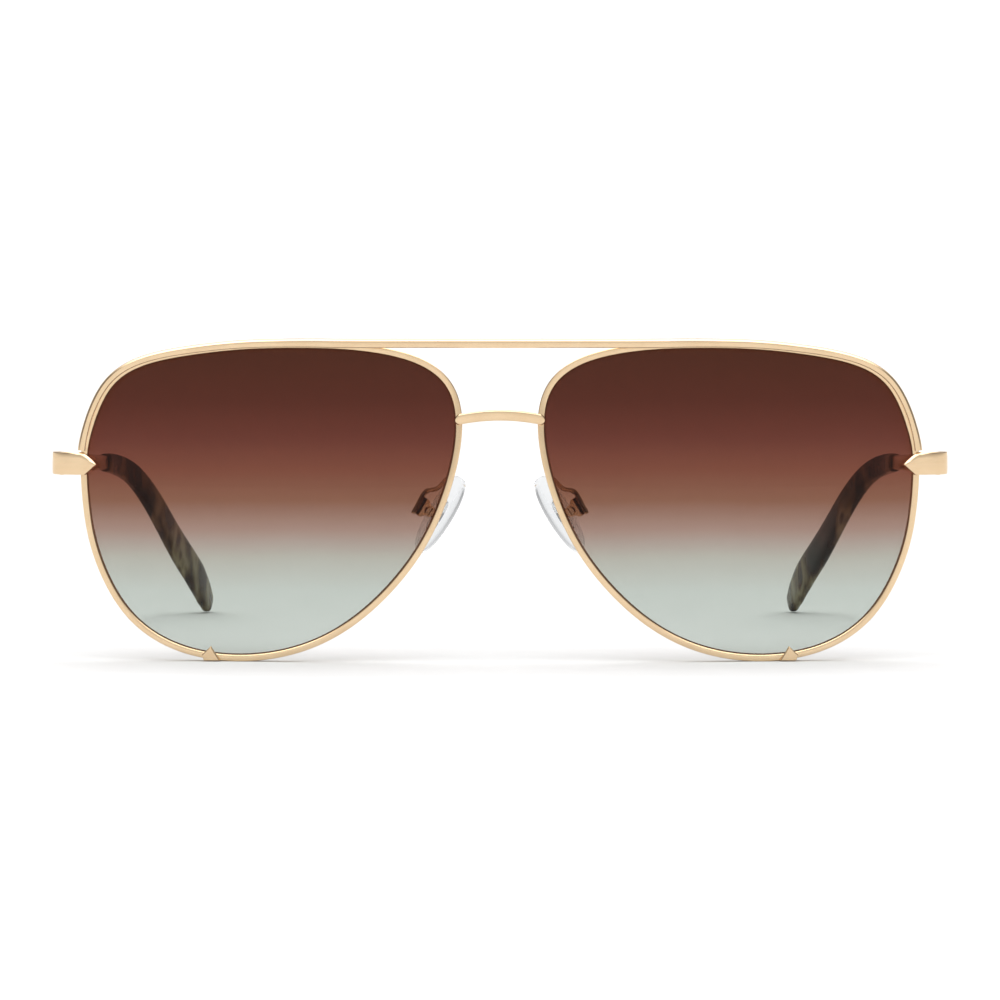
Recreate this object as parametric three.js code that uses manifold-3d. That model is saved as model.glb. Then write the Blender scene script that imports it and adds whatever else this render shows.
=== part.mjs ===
// Metal aviator sunglasses with acetate temple tips, open and standing on a table.
// Millimetres. +X is the wearer's left, +Y runs back along the temples, +Z is up.
// Depths (y) are measured back from the front of the lenses, and the whole assembly
// is moved forward at the end so that the middle of its depth lies on the origin.

import * as THREE from 'three';
import { mergeVertices } from 'three/addons/utils/BufferGeometryUtils.js';
import loadManifold from 'manifold-3d';

const manifold = await loadManifold();
manifold.setup();

// ---- Front: lens shape and curve ---------------------------------------------------

// Edge of the left lens as seen from the front [x, z]: it starts at the end piece and
// runs over the top, down the nose side and back along the bottom.
const LENS_OUTLINE = [
  [69.3, 33.1], [68.4, 38.7], [65.3, 45.6], [59.6, 49.5], [52.0, 51.2], [43.0, 52.2],
  [33.5, 52.45], [24.0, 52.05], [15.0, 50.25], [9.2, 46.3], [7.4, 39.8], [8.8, 30.8],
  [12.9, 20.7], [19.3, 12.1], [27.3, 5.55], [36.5, 1.9], [46.3, 1.2], [55.4, 3.4],
  [62.6, 9.0], [67.1, 17.6], [68.85, 25.6],
];
const LENS_MIDDLE = { x: 38.5, z: 26.8 };
const FRONT_RADIUS = 132; // a four-base lens curve
const FACE_FORM = Math.tan(THREE.MathUtils.degToRad(4)); // each lens turns back by this

const LENS_THICKNESS = 1.8;
const LENS_CLEARANCE = 0.05;
const BEVEL_REACH = 0.33; // how far the lens edge stands into the rim's groove
const BEVEL_HALF = 0.36;
const LENS_RINGS = [0.4, 0.75];

const OUTLINE_STEPS = 76;

// ---- Front: rims, bars and end pieces ----------------------------------------------

const RIM_WIDTH = 1.1;
const RIM_DEPTH = 2.3;
const RIM_BEVEL = 0.22; // along the lens
const RIM_EDGE = 0.1; // round the outside
const GROOVE_DEPTH = 0.45;
const GROOVE_HALF = 0.42;
const RIM_SPLIT_HALF = 0.0009; // half the slit between the rim's ends, in turns of the outline

const BRAZE_GAP = 0.06; // between two pieces that are brazed together

const BAR_HEIGHT = 1.52;
const BAR_DEPTH = 1.45;
const BAR_Z = 53.27; // height of the straight stretch over the nose
const BAR_STRAIGHT = [0, 6, 12, 18, 23];
// The bar where it follows the rim, from the end piece to the straight stretch:
// [turns of the outline, distance of its middle outside the lens edge, height].
const BAR_ON_RIM = [
  [0.0172, 1.03, 1.27], [0.06, 1.15, 1.12], [0.12, 1.08, 1.2], [0.27, 0.9, 1.4],
  [0.312, 0.96, 1.5],
];
const BAR_TOP_BEVEL = 0.38;
const BAR_LOW_BEVEL = 0.28;

const BRIDGE_HALF = 7.45;
const BRIDGE_HEIGHT = 1.8;
const BRIDGE_DEPTH = 1.25;
const BRIDGE_Z = 41.3;
const BRIDGE_ARCH = 0.85; // how much lower its ends are than its middle
const BRIDGE_BOW = 0.75; // how much further forward its middle is

const END_PIECE_Z = 33.1;
const END_PIECE_HEIGHT = 3.8;
const END_PIECE_THICKNESS = 1.1;
const END_PIECE_BEVEL = 0.24;
const ARROW_TIP_Z = 32.95;
const ARROW_TOP_X = 70.2; // where the arrow head's upper edge starts to fall
const ARROW_LOW_X = 69.5; // where its lower edge starts to rise
const ARROW_TIP_X = 67.6;
// Middle line of the end piece seen from above [x, y]: along the front, round the
// corner and back to the hinge.
const END_PIECE_PATH = [
  [67.6, 3.4], [69.0, 3.71], [70.2, 4.03], [71.6, 4.45], [72.9, 4.98], [73.95, 5.7],
  [74.65, 6.7], [74.85, 8.1], [74.8, 9.7], [74.75, 11.2],
];

// Front outline of the stud [x, z]: a triangle whose outer foot is cut off.
const STUD_OUTLINE = [[46.9, 0.15], [49.6, 0.15], [50.0, 1.05], [48.4, 2.6]];
const STUD_THICKNESS = 0.75;
const STUD_BEVEL = 0.18;

// ---- Closing blocks and hinge ------------------------------------------------------

const BLOCK = { x0: 70.52, x1: 72.8, y0: 6.3, y1: 8.6 };
const BLOCK_HEIGHT = 1.4;
const BLOCK_GAP = 0.3;
const RIM_SCREW_RADIUS = 0.5;
const RIM_SCREW_HEAD = 0.85;

const PIVOT = { x: 71.9, y: 11.25 };
const HINGE_BASE_Z = 31.05;
const KNUCKLE_HEIGHT = 1.05;
const KNUCKLE_GAP = 0.07;
const KNUCKLE_RADIUS = 1.42;
const LEAF_FACE = 1.55; // from the pivot out to the leaf's inner face
const LEAF_THICKNESS = 0.6;
const LEAF_LENGTH = 4.2;
const HINGE_SCREW_RADIUS = 0.55;
const HINGE_SCREW_HEAD = 1.0;
const SCREW_CLEARANCE = 0.06;

// ---- Temples -----------------------------------------------------------------------

// Middle line of the left temple, from the butt at the hinge to the end of its tip.
const TEMPLE_PATH = [
  [74.75, 11.32, 33.1], [74.35, 32, 32.3], [73.7, 56, 31.5], [72.7, 80, 30.7],
  [71.3, 90, 30.1], [68.8, 97.5, 28.3], [66.0, 104.5, 24.1], [63.4, 112, 18.4],
  [60.7, 120, 12.3], [58.2, 127, 7.1], [56.2, 134.65, 0.93],
];
// Arm and the core wire it runs out into: [distance along the path, thickness, height].
const ARM_SECTIONS = [
  [0, 1.15, 3.8], [36, 1.12, 3.3], [70, 1.1, 2.6], [76, 1.1, 2.3], [81, 1.0, 1.6],
  [88, 0.95, 1.4], [118, 0.9, 1.1],
];
// Acetate tip: [distance along the path, thickness, height].
const TIP_SECTIONS = [
  [73.5, 2.1, 3.3], [76, 2.3, 3.6], [88, 2.5, 4.0], [100, 2.5, 4.8], [115, 2.45, 5.7],
  [125, 2.4, 6.0], [130, 2.3, 5.4], [132.6, 2.1, 4.3], [134.6, 1.4, 2.6],
];
const TIP_HOLE_CLEARANCE = 0.12;
const BEND_STEP = 4.5; // spacing of the sections along the bend

// ---- Nose pads ---------------------------------------------------------------------

const PAD_SCREW = [12.5, 9.5, 25.25];
const PAD_LEAN = THREE.MathUtils.degToRad(30.5); // the pad's foot stands out sideways
const PAD_SPLAY = THREE.MathUtils.degToRad(25); // its rear edge stands out sideways
const PAD_LENGTH = 14.4;
const PAD_WIDTH = 7.5;
const PAD_THICKNESS = 2.9;
const PAD_BACK = 1.3; // from the screw to the pad's back
const PAD_RISE = 0.3; // the pad's middle sits this far up its own length
const CORE = { length: 6, width: 2.8, thickness: 0.6, lug: 0.8, lugHalf: 0.85 };
const CORE_DEPTH = PAD_BACK + 0.95; // from the screw to the plate inside the silicone
const POCKET_CLEARANCE = 0.06;
const BOX = { half: 1.6, back: 1.35, slot: 0.98, ear: 1.0, inner: 0.95, outer: 1.42 };
const PAD_SCREW_RADIUS = 0.42;
const PAD_SCREW_HEAD = 0.72;
// Middle line of the pad arm's wire, from the back of the rim to its flattened end.
const PAD_WIRE_PATH = [
  [8.35, 2.85, 30.8], [9.0, 3.9, 30.45], [9.8, 5.2, 29.6], [10.7, 6.5, 28.8],
  [11.6, 7.7, 28.55],
];
const PADDLE_REACH = [-2.4, -0.2, 1.8]; // the flattened end, down the pad's length
const PADDLE_SHIFT = 0.38; // its middle lies this far behind the pad box
// Pad arm: [share of its length, thickness, width].
const PAD_ARM_SECTIONS = [
  [0, 0.8, 0.8], [0.55, 0.72, 0.72], [0.7, 0.64, 1.4], [0.93, 0.64, 1.5], [1, 0.3, 0.7],
];

// Middle of the whole depth, from the foremost point of the lenses to the end of the tips.
const DEPTH_MIDDLE = 67.07;

// ---- Materials ---------------------------------------------------------------------

const gold = new THREE.MeshStandardMaterial({ color: 0xe3c28e, metalness: 1, roughness: 0.25 });
const steel = new THREE.MeshStandardMaterial({ color: 0xc9c4ba, metalness: 1, roughness: 0.3 });
const tint = new THREE.MeshStandardMaterial({ color: 0x7a4a3c, metalness: 0, roughness: 0.05 });
const acetate = new THREE.MeshStandardMaterial({ color: 0x4a3420, metalness: 0, roughness: 0.2 });
const plastic = new THREE.MeshStandardMaterial({ color: 0xe2e4e4, metalness: 0, roughness: 0.1 });
const silicone = new THREE.MeshStandardMaterial({ color: 0xe6e8ea, metalness: 0, roughness: 0.15 });

// ---- Bodies ------------------------------------------------------------------------

const vec = (x, y, z) => new THREE.Vector3(x, y, z);

/** Triangles that fill a flat ring, wound the way the ring runs. */
function fillRing(ring) {
  const normal = vec(0, 0, 0);
  ring.forEach((point, i) => {
    const next = ring[(i + 1) % ring.length];
    normal.add(point.clone().cross(next));
  });
  normal.normalize();
  const across = ring[1].clone().sub(ring[0]).normalize();
  const up = normal.clone().cross(across);
  const flat = ring.map((point) => new THREE.Vector2(point.dot(across), point.dot(up)));
  return THREE.ShapeUtils.triangulateShape(flat, []).map(([a, b, c]) => {
    const area = flat[b].clone().sub(flat[a]).cross(flat[c].clone().sub(flat[a]));
    return area > 0 ? [a, b, c] : [a, c, b];
  });
}

/** Turns a geometry's faces outward if they face inward. */
function outward(geometry) {
  const p = geometry.attributes.position;
  let volume = 0;
  for (let i = 0; i < p.count; i += 3) {
    const [a, b, c] = [0, 1, 2].map((k) => vec(0, 0, 0).fromBufferAttribute(p, i + k));
    volume += a.dot(b.cross(c));
  }
  if (volume < 0) {
    for (let i = 0; i < p.count; i += 3) {
      const [b, c] = [1, 2].map((k) => vec(0, 0, 0).fromBufferAttribute(p, i + k));
      p.setXYZ(i + 1, c.x, c.y, c.z);
      p.setXYZ(i + 2, b.x, b.y, b.z);
    }
  }
  return geometry;
}

/** A closed body through a row of rings. A ring of one point closes an end to a tip. */
function skin(rings, loop = false) {
  const positions = [];
  const addTriangle = (...corners) => corners.forEach((corner) => positions.push(...corner));
  const spans = loop ? rings.length : rings.length - 1;
  for (let i = 0; i < spans; i++) {
    const here = rings[i];
    const next = rings[(i + 1) % rings.length];
    const count = Math.max(here.length, next.length);
    for (let j = 0; j < count; j++) {
      const k = (j + 1) % count;
      if (here.length > 1) {
        addTriangle(here[j], here[k], next[k % next.length]);
      }
      if (next.length > 1) {
        addTriangle(here[j % here.length], next[k], next[j]);
      }
    }
  }
  if (!loop) {
    const first = rings[0];
    const last = rings[rings.length - 1];
    if (first.length > 1) {
      fillRing(first).forEach(([a, b, c]) => addTriangle(first[a], first[c], first[b]));
    }
    if (last.length > 1) {
      fillRing(last).forEach(([a, b, c]) => addTriangle(last[a], last[b], last[c]));
    }
  }
  const geometry = new THREE.BufferGeometry();
  geometry.setAttribute('position', new THREE.Float32BufferAttribute(positions, 3));
  return outward(geometry);
}

/** The flat outline [[a, b], ...] laid out from origin along two directions. */
function place(outline, origin, along, across) {
  return outline.map(([a, b]) => origin.clone().addScaledVector(along, a).addScaledVector(across, b));
}

/** A flat outline [[x, y], ...] raised from z0 to z1. */
function prism(outline, z0, z1) {
  return skin([z0, z1].map((z) => outline.map(([x, y]) => vec(x, y, z))));
}

/** Points of an arc about (x, y) between two angles in degrees. */
function arc(x, y, radius, from, to, steps) {
  return Array.from({ length: steps + 1 }, (_, i) => {
    const angle = THREE.MathUtils.degToRad(from + ((to - from) * i) / steps);
    return [x + radius * Math.cos(angle), y + radius * Math.sin(angle)];
  });
}

/** A full circle of the given number of sides. */
function circle(x, y, radius, sides) {
  return arc(x, y, radius, 0, 360 - 360 / sides, sides - 1);
}

/** A rectangle about the origin with its four corners cut off. */
function cutRectangle(width, height, cut) {
  const w = width / 2;
  const h = height / 2;
  return [
    [w, -h + cut], [w, h - cut], [w - cut, h], [-w + cut, h],
    [-w, h - cut], [-w, -h + cut], [-w + cut, -h], [w - cut, -h],
  ];
}

/** A rounded shape between an ellipse (power 2) and a rectangle (large powers). */
function roundedShape(width, height, power, sides) {
  const bend = (value) => Math.sign(value) * Math.abs(value) ** (2 / power);
  return Array.from({ length: sides }, (_, i) => {
    const angle = (2 * Math.PI * i) / sides;
    return [(width / 2) * bend(Math.cos(angle)), (height / 2) * bend(Math.sin(angle))];
  });
}

function toSolid(geometry) {
  const merged = mergeVertices(geometry, 1e-5);
  return new manifold.Manifold(new manifold.Mesh({
    numProp: 3,
    vertProperties: new Float32Array(merged.attributes.position.array),
    triVerts: new Uint32Array(merged.index.array),
  }));
}

function toGeometry(solid) {
  const mesh = solid.getMesh();
  const geometry = new THREE.BufferGeometry();
  geometry.setAttribute('position', new THREE.BufferAttribute(mesh.vertProperties, 3));
  geometry.setIndex(new THREE.BufferAttribute(mesh.triVerts, 1));
  return geometry.toNonIndexed();
}

/** One geometry joined from several, with others cut away from it. */
function combine(joined, removed = []) {
  let solid = joined.map(toSolid).reduce((sum, piece) => sum.add(piece));
  for (const piece of removed) {
    solid = solid.subtract(toSolid(piece));
  }
  return toGeometry(solid);
}

// ---- Curves ------------------------------------------------------------------------

/** A smooth closed curve through points, as a function of turns from 0 to 1. */
function closedCurve(points) {
  const count = points.length;
  const through = points.map(([x, z]) => new THREE.Vector2(x, z));
  let control = through;
  for (let pass = 0; pass < 40; pass++) {
    control = through.map((point, i) => point.clone().multiplyScalar(6)
      .sub(control[(i + count - 1) % count])
      .sub(control[(i + 1) % count])
      .divideScalar(4));
  }
  return (turns) => {
    const position = (((turns % 1) + 1) % 1) * count;
    const i = Math.floor(position);
    const t = position - i;
    const weights = [
      (1 - t) ** 3, 3 * t ** 3 - 6 * t ** 2 + 4, -3 * t ** 3 + 3 * t ** 2 + 3 * t + 1, t ** 3,
    ];
    const point = new THREE.Vector2();
    weights.forEach((weight, k) => {
      point.addScaledVector(control[(i + k + count - 1) % count], weight / 6);
    });
    return point;
  };
}

const lensEdge = closedCurve(LENS_OUTLINE);

/** Direction out of the lens edge, seen from the front. */
function edgeNormal(turns) {
  const tangent = lensEdge(turns + 1e-4).sub(lensEdge(turns - 1e-4)).normalize();
  return new THREE.Vector2(tangent.y, -tangent.x);
}

/** How far back the middle of the front lies at a point seen from the front. */
function frontDepth(x, z) {
  const across = Math.abs(x) - LENS_MIDDLE.x;
  const up = z - LENS_MIDDLE.z;
  return (across ** 2 + up ** 2) / (2 * FRONT_RADIUS) + across * FACE_FORM;
}

/** The point at a distance outside the lens edge, pushed back by extra. */
function besideEdge(turns, offset, extra = 0) {
  const edge = lensEdge(turns);
  const { x, y: z } = edge.clone().addScaledVector(edgeNormal(turns), offset);
  return vec(x, frontDepth(edge.x, edge.y) + extra, z);
}

/** Linear interpolation in a table of rows [key, value, ...], giving the values. */
function lookUp(rows, key) {
  const i = Math.max(1, Math.min(rows.length - 1, rows.findIndex((row) => row[0] >= key)));
  const [low, high] = [rows[i - 1], rows[i]];
  const t = THREE.MathUtils.clamp((key - low[0]) / (high[0] - low[0]), 0, 1);
  return low.slice(1).map((value, k) => value + (high[k + 1] - value) * t);
}

// ---- Front pieces ------------------------------------------------------------------

const BACK = vec(0, 1, 0);
const UP = vec(0, 0, 1);

function outwardAt(turns) {
  const normal = edgeNormal(turns);
  return vec(normal.x, 0, normal.y);
}

/** The eyewire: a ring with an inner groove, slit behind the end piece. */
function rim() {
  const half = RIM_DEPTH / 2;
  const section = [
    [0, -half + RIM_BEVEL], [RIM_BEVEL, -half],
    [RIM_WIDTH - RIM_EDGE, -half], [RIM_WIDTH, -half + RIM_EDGE],
    [RIM_WIDTH, half - RIM_EDGE], [RIM_WIDTH - RIM_EDGE, half],
    [RIM_BEVEL, half], [0, half - RIM_BEVEL],
    [0, GROOVE_HALF], [GROOVE_DEPTH, 0], [0, -GROOVE_HALF],
  ];
  const rings = [];
  for (let i = 0; i <= OUTLINE_STEPS; i++) {
    const turns = THREE.MathUtils.clamp(i / OUTLINE_STEPS, RIM_SPLIT_HALF, 1 - RIM_SPLIT_HALF);
    rings.push(place(section, besideEdge(turns, 0), outwardAt(turns), BACK));
  }
  return skin(rings);
}

/** A ring of the lens: a share of its outline, at a distance behind its middle surface. */
function lensRing(share, offset, extra) {
  const ring = [];
  for (let i = 0; i < OUTLINE_STEPS; i++) {
    const edge = besideEdge(i / OUTLINE_STEPS, offset);
    const x = LENS_MIDDLE.x + (edge.x - LENS_MIDDLE.x) * share;
    const z = LENS_MIDDLE.z + (edge.z - LENS_MIDDLE.z) * share;
    const y = share === 1 ? edge.y : frontDepth(x, z);
    ring.push(vec(x, y + extra, z));
  }
  return ring;
}

/** The lens: two curved faces and a bevelled edge that stands in the rim's groove. */
function lens() {
  const half = LENS_THICKNESS / 2;
  const middle = (extra) => [vec(LENS_MIDDLE.x, extra, LENS_MIDDLE.z)];
  return skin([
    middle(-half),
    ...LENS_RINGS.map((share) => lensRing(share, -LENS_CLEARANCE, -half)),
    lensRing(1, -LENS_CLEARANCE, -half),
    lensRing(1, -LENS_CLEARANCE, -BEVEL_HALF),
    lensRing(1, BEVEL_REACH, 0),
    lensRing(1, -LENS_CLEARANCE, BEVEL_HALF),
    lensRing(1, -LENS_CLEARANCE, half),
    ...LENS_RINGS.toReversed().map((share) => lensRing(share, -LENS_CLEARANCE, half)),
    middle(half),
  ]);
}

function barSection(height) {
  const h = height / 2;
  const d = BAR_DEPTH / 2;
  return [
    [h, d], [h, -d + BAR_TOP_BEVEL], [h - BAR_TOP_BEVEL, -d],
    [-h + BAR_LOW_BEVEL, -d], [-h, -d + BAR_LOW_BEVEL], [-h, d],
  ];
}

/** The brow bar: straight over the nose, then round the front of each rim to its end piece. */
function browBar() {
  const lift = -RIM_DEPTH / 2 - BRAZE_GAP - BAR_DEPTH / 2;
  const [ends, joins] = [BAR_ON_RIM[0][0], BAR_ON_RIM.at(-1)[0]];
  const { y } = besideEdge(joins, 0, lift);
  const half = BAR_STRAIGHT.map((x) => place(barSection(BAR_HEIGHT), vec(x, y, BAR_Z), UP, BACK));
  const steps = 26;
  for (let i = 0; i <= steps; i++) {
    const turns = THREE.MathUtils.lerp(joins, ends, i / steps);
    const [offset, height] = lookUp(BAR_ON_RIM, turns);
    half.push(place(barSection(height), besideEdge(turns, offset, lift), outwardAt(turns), BACK));
  }
  const mirrored = half.slice(1).reverse().map((ring) => ring.map(({ x, y, z }) => vec(-x, y, z)));
  return skin([...mirrored, ...half]);
}

/** The bridge: a short arched bar whose rounded ends lap over the front of both rims. */
function bridge() {
  const rings = [];
  const steps = 20;
  const rimFront = frontDepth(BRIDGE_HALF, BRIDGE_Z - BRIDGE_ARCH) - RIM_DEPTH / 2;
  const endY = rimFront - BRAZE_GAP - BRIDGE_DEPTH / 2;
  for (let i = 0; i <= steps; i++) {
    const side = -Math.cos((Math.PI * i) / steps); // -1 to 1, closer steps at the ends
    const x = side * BRIDGE_HALF;
    const toEnd = BRIDGE_HALF - Math.abs(x);
    const cap = BRIDGE_HEIGHT / 2;
    const fullness = toEnd < cap ? Math.sqrt(1 - (1 - toEnd / cap) ** 2) : 1;
    const height = Math.max(0.25, BRIDGE_HEIGHT * fullness);
    const origin = vec(x, endY - BRIDGE_BOW * (1 - side ** 2), BRIDGE_Z - BRIDGE_ARCH * side ** 2);
    const bevel = Math.min(0.32, height / 4);
    rings.push(place(cutRectangle(height, BRIDGE_DEPTH, bevel), origin, UP, BACK));
  }
  return skin(rings);
}

/** The end piece: an arrow head on the front that wraps back to the hinge. */
function endPiece() {
  const path = new THREE.CatmullRomCurve3(END_PIECE_PATH.map(([x, y]) => vec(x, y, 0)));
  const top = END_PIECE_Z + END_PIECE_HEIGHT / 2;
  const low = END_PIECE_Z - END_PIECE_HEIGHT / 2;
  const steps = 26;
  const rings = [];
  for (let i = 0; i <= steps; i++) {
    const origin = path.getPoint(i / steps);
    const along = path.getTangent(i / steps);
    const outside = along.clone().cross(UP);
    const fall = Math.max(0, (ARROW_TOP_X - origin.x) / (ARROW_TOP_X - ARROW_TIP_X));
    const rise = Math.max(0, (ARROW_LOW_X - origin.x) / (ARROW_LOW_X - ARROW_TIP_X));
    const upper = THREE.MathUtils.lerp(top, ARROW_TIP_Z + 0.12, fall ** 1.35);
    const lower = THREE.MathUtils.lerp(low, ARROW_TIP_Z - 0.12, rise);
    const height = upper - lower;
    const bevel = Math.min(END_PIECE_BEVEL, height / 4);
    const section = cutRectangle(END_PIECE_THICKNESS, height, bevel);
    rings.push(place(section, origin.setZ((upper + lower) / 2), outside, UP));
  }
  return skin(rings);
}

/** The small triangular stud on the front of the rim's lowest stretch. */
function rimStud() {
  const [x, z] = [0, 1].map((k) => STUD_OUTLINE.reduce((sum, corner) => sum + corner[k] / 4, 0));
  const back = frontDepth(x, z) - RIM_DEPTH / 2 - BRAZE_GAP - 0.25;
  const layer = (share, y) => STUD_OUTLINE
    .map((corner) => vec(x + (corner[0] - x) * share, y, z + (corner[1] - z) * share));
  return skin([
    layer(1, back),
    layer(1, back - STUD_THICKNESS + STUD_BEVEL),
    layer(1 - STUD_BEVEL, back - STUD_THICKNESS),
  ]);
}

// ---- Closing blocks, screws and hinge ----------------------------------------------

/** A screw along z from z0 to z1 whose slotted head lies beyond z1 (or before z0). */
function screw(x, y, z0, z1, radius, headRadius, headHeight, headAtTop = true) {
  const shaft = prism(circle(x, y, radius, 16), z0, z1);
  const headLow = headAtTop ? z1 - 0.02 : z0 - headHeight;
  const headHigh = headAtTop ? z1 + headHeight : z0 + 0.02;
  const head = prism(circle(x, y, headRadius, 20), headLow, headHigh);
  const slotHalf = headRadius * 0.17;
  const slotRim = [
    [x - headRadius * 1.2, y - slotHalf], [x + headRadius * 1.2, y - slotHalf],
    [x + headRadius * 1.2, y + slotHalf], [x - headRadius * 1.2, y + slotHalf],
  ];
  const slot = headAtTop
    ? prism(slotRim, headHigh - headHeight * 0.5, headHigh + 1)
    : prism(slotRim, headLow - 1, headLow + headHeight * 0.5);
  return combine([shaft, head], [slot]);
}

const blockMiddle = { x: (BLOCK.x0 + BLOCK.x1) / 2, y: (BLOCK.y0 + BLOCK.y1) / 2 };

/** One half of the block that closes the rim, brazed beside the slit. */
function closingBlock(z0, z1, holeFrom, holeTo) {
  const width = BLOCK.x1 - BLOCK.x0;
  const depth = BLOCK.y1 - BLOCK.y0;
  const outline = cutRectangle(width, depth, 0.25)
    .map(([x, y]) => [x + blockMiddle.x, y + blockMiddle.y]);
  const hole = circle(blockMiddle.x, blockMiddle.y, RIM_SCREW_RADIUS + SCREW_CLEARANCE, 16);
  return combine([prism(outline, z0, z1)], [prism(hole, holeFrom, holeTo)]);
}

/** Bottom of hinge knuckle 0, 1 or 2. */
const knuckleBase = (index) => HINGE_BASE_Z + index * (KNUCKLE_HEIGHT + KNUCKLE_GAP);

/** A hinge leaf with knuckles on the pivot; direction is -1 to the front, 1 to the temple. */
function hingeLeaf(direction, knuckles) {
  const { x, y } = PIVOT;
  const near = y + direction * 0.06;
  const clearOfKnuckles = y + direction * (KNUCKLE_RADIUS + 0.12);
  const far = y + direction * LEAF_LENGTH;
  const box = (x0, x1, y0, y1) => [[x0, y0], [x1, y0], [x1, y1], [x0, y1]];
  const plateStart = direction < 0 ? near : clearOfKnuckles;
  const plate = prism(
    box(x + LEAF_FACE, x + LEAF_FACE + LEAF_THICKNESS, plateStart, far),
    knuckleBase(0),
    knuckleBase(2) + KNUCKLE_HEIGHT,
  );
  const parts = [plate];
  for (const index of knuckles) {
    const z0 = knuckleBase(index);
    const z1 = z0 + KNUCKLE_HEIGHT;
    parts.push(prism(circle(x, y, KNUCKLE_RADIUS, 24), z0, z1));
    parts.push(prism(box(x + 0.4, x + LEAF_FACE + LEAF_THICKNESS, near, y + direction * 1.8), z0, z1));
  }
  const bore = prism(
    circle(x, y, HINGE_SCREW_RADIUS + SCREW_CLEARANCE, 16),
    HINGE_BASE_Z - 1,
    knuckleBase(3) + 1,
  );
  return combine(parts, [bore]);
}

function hingeScrew() {
  const top = knuckleBase(2) + KNUCKLE_HEIGHT + 0.05;
  return screw(PIVOT.x, PIVOT.y, HINGE_BASE_Z - 0.1, top, HINGE_SCREW_RADIUS, HINGE_SCREW_HEAD, 0.4);
}

// ---- Temples -----------------------------------------------------------------------

const templePath = new THREE.CatmullRomCurve3(TEMPLE_PATH.map((point) => vec(...point)));
templePath.arcLengthDivisions = 800;
const templeLength = templePath.getLength();

/** Ring of a section standing upright on the temple's middle line. */
function templeRing(outline, distance) {
  const turns = Math.min(1, distance / templeLength);
  const origin = templePath.getPointAt(turns);
  const along = templePath.getTangentAt(turns);
  const outside = along.clone().cross(UP).normalize();
  const upright = outside.clone().cross(along);
  return place(outline, origin, outside, upright);
}

/** Distances from the first to the last row of a table, never more than BEND_STEP apart on the bend. */
function distancesAlong(rows) {
  const stops = rows.map(([distance]) => distance);
  const extra = [];
  for (let s = 76 + BEND_STEP; s < stops.at(-1) - 2; s += BEND_STEP) {
    if (s > stops[0] && stops.every((stop) => Math.abs(stop - s) > 1.2)) {
      extra.push(s);
    }
  }
  return [...stops, ...extra].sort((a, b) => a - b);
}

function armSkin(rows, clearance, from, to) {
  const stops = distancesAlong(rows).filter((s) => s > from && s < to);
  return skin([from, ...stops, to].map((s) => {
    const [thickness, height] = lookUp(rows, s).map((size) => size + 2 * clearance);
    return templeRing(cutRectangle(thickness, height, 0.22), s);
  }));
}

/** The flat metal arm, drawn out into a core wire inside the tip. */
function templeArm() {
  return armSkin(ARM_SECTIONS, 0, 0, ARM_SECTIONS.at(-1)[0]);
}

/** The acetate tip: a rounded sleeve, bored for the arm and its core wire. */
function templeTip() {
  const rings = distancesAlong(TIP_SECTIONS).map((s) => {
    const [thickness, height] = lookUp(TIP_SECTIONS, s);
    return templeRing(roundedShape(thickness, height, 3.4, 16), s);
  });
  const end = templePath.getPointAt(1);
  const hole = armSkin(
    ARM_SECTIONS,
    TIP_HOLE_CLEARANCE,
    TIP_SECTIONS[0][0] - 1,
    ARM_SECTIONS.at(-1)[0] + 0.4,
  );
  return combine([skin([...rings, [end]])], [hole]);
}

// ---- Nose pads ---------------------------------------------------------------------

// The pad's own frame sits on its screw: x runs down its length, y towards the nose and
// z back along the screw.
const padDown = vec(Math.sin(PAD_LEAN), 0, -Math.cos(PAD_LEAN));
const padInward = vec(
  -Math.cos(PAD_LEAN) * Math.cos(PAD_SPLAY),
  Math.sin(PAD_SPLAY),
  -Math.sin(PAD_LEAN) * Math.cos(PAD_SPLAY),
);
const padFrame = new THREE.Matrix4()
  .makeBasis(padDown, padInward, padDown.clone().cross(padInward))
  .setPosition(...PAD_SCREW);

/** The pad box: a back plate with two ears that carry the pad's screw. */
function padBox() {
  const { half, back, slot, ear, inner, outer } = BOX;
  const outline = [
    [-half, -back], [half, -back], [half, -slot],
    ...arc(0, 0, ear, -15, 195, 14),
    [-half, -slot],
  ];
  const gap = [[-2, -slot], [2, -slot], [2, 2], [-2, 2]];
  return combine(
    [prism(outline, -outer, outer)],
    [prism(gap, -inner, inner), prism(circle(0, 0, PAD_SCREW_RADIUS + SCREW_CLEARANCE, 16), -2, 2)],
  );
}

/** Outline of the core's plate, seen along the pad's thickness, grown by a clearance. */
function coreOutline(clearance) {
  const { length, width } = CORE;
  return roundedShape(length + 2 * clearance, width + 2 * clearance, 3, 20);
}

/** A prism whose outline lies in the pad's x-z plane, between two distances to the nose. */
function padPrism(outline, y0, y1) {
  return skin([y0, y1].map((y) => outline.map(([x, z]) => vec(x, y, z))));
}

/** The insert of the pad: a plate inside the silicone and the lug that holds the screw. */
function padCore() {
  const { thickness, lug, lugHalf } = CORE;
  const plate = padPrism(coreOutline(0), CORE_DEPTH, CORE_DEPTH + thickness);
  const lugEnd = CORE_DEPTH + thickness / 2;
  const lugOutline = [...arc(0, 0, lug, 180, 360, 12), [lug, lugEnd], [-lug, lugEnd]];
  const bore = prism(circle(0, 0, PAD_SCREW_RADIUS + SCREW_CLEARANCE, 16), -2, 2);
  return combine([plate, prism(lugOutline, -lugHalf, lugHalf)], [bore]);
}

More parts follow.
